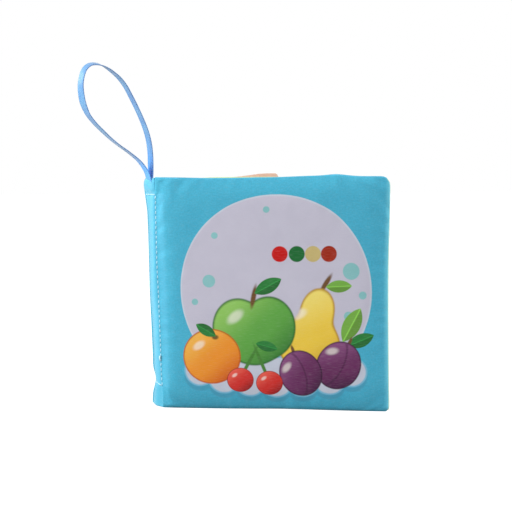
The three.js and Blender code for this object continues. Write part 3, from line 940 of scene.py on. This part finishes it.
def spine_pad():
    """The padded spine: its outer cloth swells between the stitch rows. Its inner face is the liner tape."""
    levels = [0.0, 0.25, 0.8]
    while levels[-1] < 105:
        levels.append(levels[-1] + STITCH / 4)
    levels += [105.9, 106.4, 106.8, COVER_HEIGHT]
    places = [HINGE_T * 1.004 * math.sin(math.pi / 2 * (2 * i / 20 - 1)) for i in range(21)]
    rings, uvs = [], []
    for z in levels:
        end = ease(min(z, COVER_HEIGHT - z) / 0.8) * 0.25 + 0.75
        outer = [0.1 + (spine_face(t * end, z) - 0.1) * end for t in places]
        inner = [max(0.1 + 0.42 * end, m + 0.3) for m in outer]
        ring = [spine_point(m, t * (0.985 + 0.015 * end), z) for m, t in zip(outer, places)]
        ring += [spine_point(m, t * 0.985, z) for m, t in zip(inner[::-1], places[::-1])]
        rings.append(ring)
        uvs += [(t + SPINE_MIDDLE, z) for t in places] + [(2 * SPINE_MIDDLE - t, z) for t in reversed(places)]
    half = len(places)
    points, faces, zones = strip(rings, [0] * half + [1] * (half - 1) + [0])
    made = piece("spine_pad", points, faces, uvs, (SPINE_CLOTH, LINER_CLOTH), zones, subdivide=1)
    follow_front_hinge(made)
    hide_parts("spine_outer_fabric", "spine_wadding", "spine_liner_tape")


spine_pad()


def gutter(name, node, outside, inside, reach, base, top, thick):
    """The fold of a double leaf: a strip of cloth bent round into a U."""
    leg = [(top, -reach), (base + reach * 0.55, -reach * 1.02), (base + reach * 0.2, -reach * 0.8)]
    leg.append((base, -reach * 0.35))
    path = leg + [(base - 0.05, 0)] + [(m, -t) for m, t in reversed(leg)]
    count = len(path)
    rings, uvs = [], []
    for level in range(41):
        z = LEAF_BASE + 0.4 + (LEAF_TOP - LEAF_BASE - 0.8) * level / 40
        outer, inner = [], []
        for i, (m, t) in enumerate(path):
            after, before = path[min(i + 1, count - 1)], path[max(i - 1, 0)]
            dm, dt = after[0] - before[0], after[1] - before[1]
            long = math.hypot(dm, dt)
            wave = 0.06 * waver(i * 0.6, z * 0.15, reach)
            side = (-dt / long, dm / long)
            outer.append(book(m + side[0] * (thick / 2 + wave), t + side[1] * (thick / 2 + wave), z))
            inner.append(book(m - side[0] * (thick / 2 - wave), t - side[1] * (thick / 2 - wave), z))
        rings.append(outer + inner[::-1])
        uvs += [(i * 0.8, z) for i in range(count)] + [(30 - i * 0.8, z) for i in range(count)]
    near, far = count // 2, count - count // 2
    points, faces, zones = strip(rings, [0] * near + [1] * far + [3] * near + [2] * far)
    made = piece(name, points, faces, uvs, (*outside, *inside), zones, subdivide=1)
    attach(made, "spine")
    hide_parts(node)


gutter(
    "outer_gutter", "outer_double_leaf_gutter", (YELLOW, LILAC), (PINK, PEACH),
    reach=2.55, base=0.72, top=2.9, thick=0.4,
)
gutter(
    "inner_gutter", "inner_double_leaf_gutter", (PINK, PEACH), (MINT, MINT),
    reach=0.85, base=1.2, top=2.9, thick=0.36,
)


# Stitching
STITCH_GAP, STITCH_LIFT, STITCH_DEPTH = 0.3, 0.34, 0.22
THREAD_RADIUS, BACKTACK_RADIUS, SADDLE_RADIUS = 0.3, 0.44, 0.22


def stitch_row(stops, normal, slant=(0, 0, 0), radius=THREAD_RADIUS):
    """Separate stitches along stops: each one dives into the cloth at both ends."""
    points, faces, uvs = [], [], []
    for k in range(len(stops) - 1):
        a, b = stops[k] * 1000, stops[k + 1] * 1000
        way = (b - a).normalized()
        a, b = a + way * STITCH_GAP / 2 - Vector(slant), b - way * STITCH_GAP / 2 + Vector(slant)
        side = way.cross(normal).normalized()
        rings = []
        for i in range(9):
            s = i / 8
            arch = math.sin(math.pi * s)
            centre = a.lerp(b, s) + normal * (STITCH_LIFT * (arch**0.6 if arch > 0 else 0) - STITCH_DEPTH)
            size = radius * (0.55 + 0.45 * arch**0.5 if arch > 0 else 0.5)
            ring = []
            for j in range(8):
                turn = 2 * math.pi * j / 8
                out, up = size * math.cos(turn), size * 0.85 * math.sin(turn)
                ring.append((centre + side * out + normal * up) * MM)
            rings.append(ring)
            uvs += [(j / 8, s * (b - a).length + k) for j in range(8)]
        gather(points, faces, *loft(rings))
    return points, faces, uvs


def row_point(side, m, z):
    """A point in the groove of the front (-1) or back (1) stitch row."""
    return spine_point(m - 0.32, HINGE_T + 0.12, z) if side > 0 else spine_point(m - 0.02, -HINGE_T - 0.14, z)


def row_normal(side):
    """The way that a long row's stitches face."""
    return (-ALONG * 0.72 + ACROSS * side * 0.69).normalized()


def topstitching():
    """Two long rows, a short row across each end, and the backtack: three stitches on one another."""
    rows = []
    count = round((TOP_ROW - BOTTOM_ROW) / STITCH)
    for side in (-1, 1):
        start = BOTTOM_ROW if side < 0 else BOTTOM_ROW + 2.4
        heights = [start + (TOP_ROW - start) * i / count for i in range(count + 1)]
        heights[1:-1] = [z + 0.25 * waver(5 * z, side, 4) for z in heights[1:-1]]
        stops = [row_point(side, 0.12 * waver(z, side, 0), z) for z in heights]
        rows.append((stops, row_normal(side), (0.16, 0.05, 0)))
    for z, tilt in ((TOP_ROW, 0), (BOTTOM_ROW, BOTTOM_TILT)):
        places = [HINGE_T * 0.96 * (2 * i / 4 - 1) for i in range(5)]
        heights = [z + tilt * (t + HINGE_T) for t in places]
        stops = [spine_point(spine_face(t, height) - 0.1, t, height) for t, height in zip(places, heights)]
        rows.append((stops, -ALONG, (0, 0, 0.06)))
    for turn in range(3):
        foot = row_point(-1, -0.55 + 0.1 * turn, 21.9 + 0.25 * turn)
        head = row_point(-1, -0.45 - 0.1 * turn, 24.7 + 0.2 * turn)
        rows.append(([foot, head], row_normal(-1), (0.36 * (turn - 1), 0, 0), BACKTACK_RADIUS))
    points, faces, uvs = [], [], []
    for row in rows:
        row_points, row_faces, row_uvs = stitch_row(*row)
        gather(points, faces, row_points, row_faces)
        uvs += row_uvs
    made = piece("topstitching", points, faces, uvs, (THREAD,))
    follow_front_hinge(made)
    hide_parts("spine_topstitch_thread")


topstitching()


def saddle_stitching():
    low, high = LEAF_BASE + 7, LEAF_TOP - 7
    count = round((high - low) / 3.2)
    stops = [book(1.42, 0, low + (high - low) * i / count) for i in range(count + 1)]
    points, faces, uvs = stitch_row(stops, ALONG, radius=SADDLE_RADIUS)
    made = piece("saddle_stitching", points, faces, uvs, (THREAD,))
    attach(made, "spine")
    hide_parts("saddle_stitch_thread")


saddle_stitching()


# Ribbon

# Along m and up from the spine's top in millimetres, and the twist in degrees.
RIBBON_PATH = [
    (0, -9, 0), (-0.2, -4.5, 0), (-0.4, -1.2, 1), (-0.24, 2, 2.2), (-0.2, 5.6, 3.4), (-0.2, 10.1, 2.8),
    (-0.55, 14.6, 2.2), (-1.4, 19.1, 1), (-2.85, 23.6, 0), (-4.7, 28, -0.8), (-6.77, 32.4, -0.9),
    (-9, 36.7, -1.2), (-11.4, 41, -1.8), (-14.3, 44.5, -2.8), (-17.9, 47.35, -5.4), (-19.7, 48.45, -8),
    (-21.5, 49.3, -12), (-23.2, 49.75, -15), (-25, 49.85, -15.6), (-26.9, 49.5, -14), (-28.6, 48.4, -11.6),
    (-29.95, 46.6, -9.4), (-30.8, 44.4, -8.3), (-31.3, 42.2, -7.9), (-31.55, 40, -7.8), (-31.5, 37.9, -8.2),
    (-31.3, 35.8, -8.6), (-30.95, 33.6, -8.4), (-30.35, 31.5, -7), (-29.5, 29.4, -4.2), (-28.45, 27.3, -1.4),
    (-25.7, 23.9, 0.4), (-22.3, 20.6, 1.2), (-18.8, 17.4, 2.8), (-15.2, 14.6, 3.6), (-11.5, 12.1, 3.3),
    (-7.85, 9.35, 2.7), (-5.95, 7.7, 2), (-4.3, 5.8, 0.8), (-2.9, 3.7, 0), (-2, 1.9, -0.6), (-1.6, 0.4, -0.8),
    (-1.1, -1.5, 0), (-0.6, -4.5, 0), (-0.4, -9, 0),
]
# The ribbon's section from one edge inward: places across it, and half its thickness there.
RIBBON_EDGE = [(-3, 0.0), (-2.97, 0.17), (-2.75, 0.2), (-2.5, 0.13), (-1.5, 0.12)]


def ribbon():
    """A smooth curve through the path, swept by the section."""
    controls = [Vector(p) for p in RIBBON_PATH]
    stops = []
    for i in range(len(controls) - 1):
        a, b, c, d = (controls[min(max(i + k, 0), len(controls) - 1)] for k in (-1, 0, 1, 2))
        for step in range(5):
            s = step / 5
            square, cube = 2 * a - 5 * b + 4 * c - d, 3 * b - a - 3 * c + d
            stops.append(0.5 * ((2 * b) + (c - a) * s + square * s**2 + cube * s**3))
    stops.append(controls[-1])
    upper = [*RIBBON_EDGE, (0, 0.12), *((-s, h) for s, h in RIBBON_EDGE[::-1])]
    section = upper + [(s, -h) for s, h in upper[-2:0:-1]]
    rings, uvs, along = [], [], 0
    for i, stop in enumerate(stops):
        after, before = stops[min(i + 1, len(stops) - 1)], stops[max(i - 1, 0)]
        run = Vector((after.x - before.x, after.y - before.y)).normalized()
        normal = Vector((-run.y, 0, run.x))
        turn = math.radians(stop.z)
        across = Vector((0, math.cos(turn), 0)) + normal * math.sin(turn)
        up = normal * math.cos(turn) - Vector((0, math.sin(turn), 0))
        along += (stop - stops[i - 1]).xy.length if i else 0
        ring = []
        for s, h in section:
            cup = 0.05 * (s / 3) ** 2
            p = Vector((stop.x, 0, RIBBON_ROOT + stop.y)) + across * s + up * (h + cup)
            ring.append(book(p.x, p.y, p.z))
            uvs.append((s, along))
        rings.append(ring)
    points, faces = loft(rings)
    made = piece("ribbon_band", points, faces, uvs, (SATIN,))
    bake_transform(made)
    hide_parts("ribbon_loop", "ribbon_tail_near", "ribbon_tail_far")


ribbon()


# Floor, light and camera
FLOOR_GREY, FLOOR_GLOW, SURROUND_LIGHT = 0.3, 0.9, 0.5


def direct_view(tree):
    """1 for what the camera sees, straight or mirrored, and 0 for what only lights the book."""
    path = tree.nodes.new("ShaderNodeLightPath")
    seen = path.outputs["Is Camera Ray"]
    for kind in ("Glossy", "Transmission"):
        both = tree.nodes.new("ShaderNodeMath")
        both.operation, both.use_clamp = "ADD", True
        tree.links.new(seen, both.inputs[0])
        tree.links.new(path.outputs[f"Is {kind} Ray"], both.inputs[1])
        seen = both.outputs[0]
    return seen


def backdrop():
    """A plain pale floor that keeps the shadow, under a white surround."""
    g = Graph("pale_floor")
    g.put("Base Color", (FLOOR_GREY, FLOOR_GREY, FLOOR_GREY, 1))
    g.put("Roughness", 0.9)
    g.put("Emission Color", WHITE)
    g.put("Emission Strength", g.times(direct_view(g.tree), FLOOR_GLOW))
    mesh = bpy.data.meshes.new("floor")
    mesh.from_pydata([(-6, -6, 0), (6, -6, 0), (6, 6, 0), (-6, 6, 0)], [], [(0, 1, 2, 3)])
    mesh.materials.append(g.material)
    floor = show("floor", mesh)
    world = bpy.data.worlds.new("surround")
    scene.world = world
    world.use_nodes = True
    tree = world.node_tree
    strength = tree.nodes.new("ShaderNodeMapRange")
    strength.inputs["To Min"].default_value = SURROUND_LIGHT
    strength.inputs["To Max"].default_value = 1.0
    ground = tree.nodes["Background"]
    ground.inputs["Color"].default_value = WHITE
    tree.links.new(direct_view(tree), strength.inputs["Value"])
    tree.links.new(strength.outputs[0], ground.inputs["Strength"])


def lamp(name, place, target, size, power):
    data = bpy.data.lights.new(name, "AREA")
    data.shape, data.size, data.energy = "DISK", size, power
    made = show(name, data)
    made.location = place
    made.rotation_euler = (Vector(target) - Vector(place)).to_track_quat("-Z", "Y").to_euler()


backdrop()
lamp("key", place=(-0.55, -0.13, 0.38), target=(0.03, 0, 0.06), size=0.3, power=5.8)
lamp("fill", place=(0.5, -1.2, 0.9), target=(0.03, 0, 0.05), size=0.9, power=4.75)
lamp("side", place=(1.1, 0.0, 0.5), target=(0.05, 0.03, 0.05), size=0.8, power=8)


# The view, fitted to the photograph: metres, degrees, and the photograph's pixels.
VIEW_PLACE = 0.0838, -0.3632, 0.1055
VIEW_TURN, VIEW_DIP, VIEW_ROLL = 4.91, 6.43, -0.38
PHOTO_WIDTH, FOCAL_LENGTH, SHIFT_X, SHIFT_Y = 512, 797, -10, 14.2
SENSOR = 36  # millimetres


def camera():
    az, el, roll = (math.radians(a) for a in (VIEW_TURN, VIEW_DIP, VIEW_ROLL))
    forward = Vector((-math.sin(az) * math.cos(el), math.cos(az) * math.cos(el), -math.sin(el)))
    right = Vector((math.cos(az), math.sin(az), 0))
    up = right.cross(forward)
    side, top = right * math.cos(roll) + up * math.sin(roll), up * math.cos(roll) - right * math.sin(roll)
    data = bpy.data.cameras.new("view")
    data.lens = FOCAL_LENGTH * SENSOR / PHOTO_WIDTH
    data.sensor_width = SENSOR
    data.shift_x, data.shift_y = SHIFT_X / PHOTO_WIDTH, SHIFT_Y / PHOTO_WIDTH
    data.clip_start = 0.01
    made = show("view", data)
    turned = Matrix((side, top, -forward)).transposed().to_4x4()
    made.matrix_world = Matrix.Translation(VIEW_PLACE) @ turned
    bpy.context.scene.camera = made


camera()
bpy.context.scene.view_settings.view_transform = "Standard"
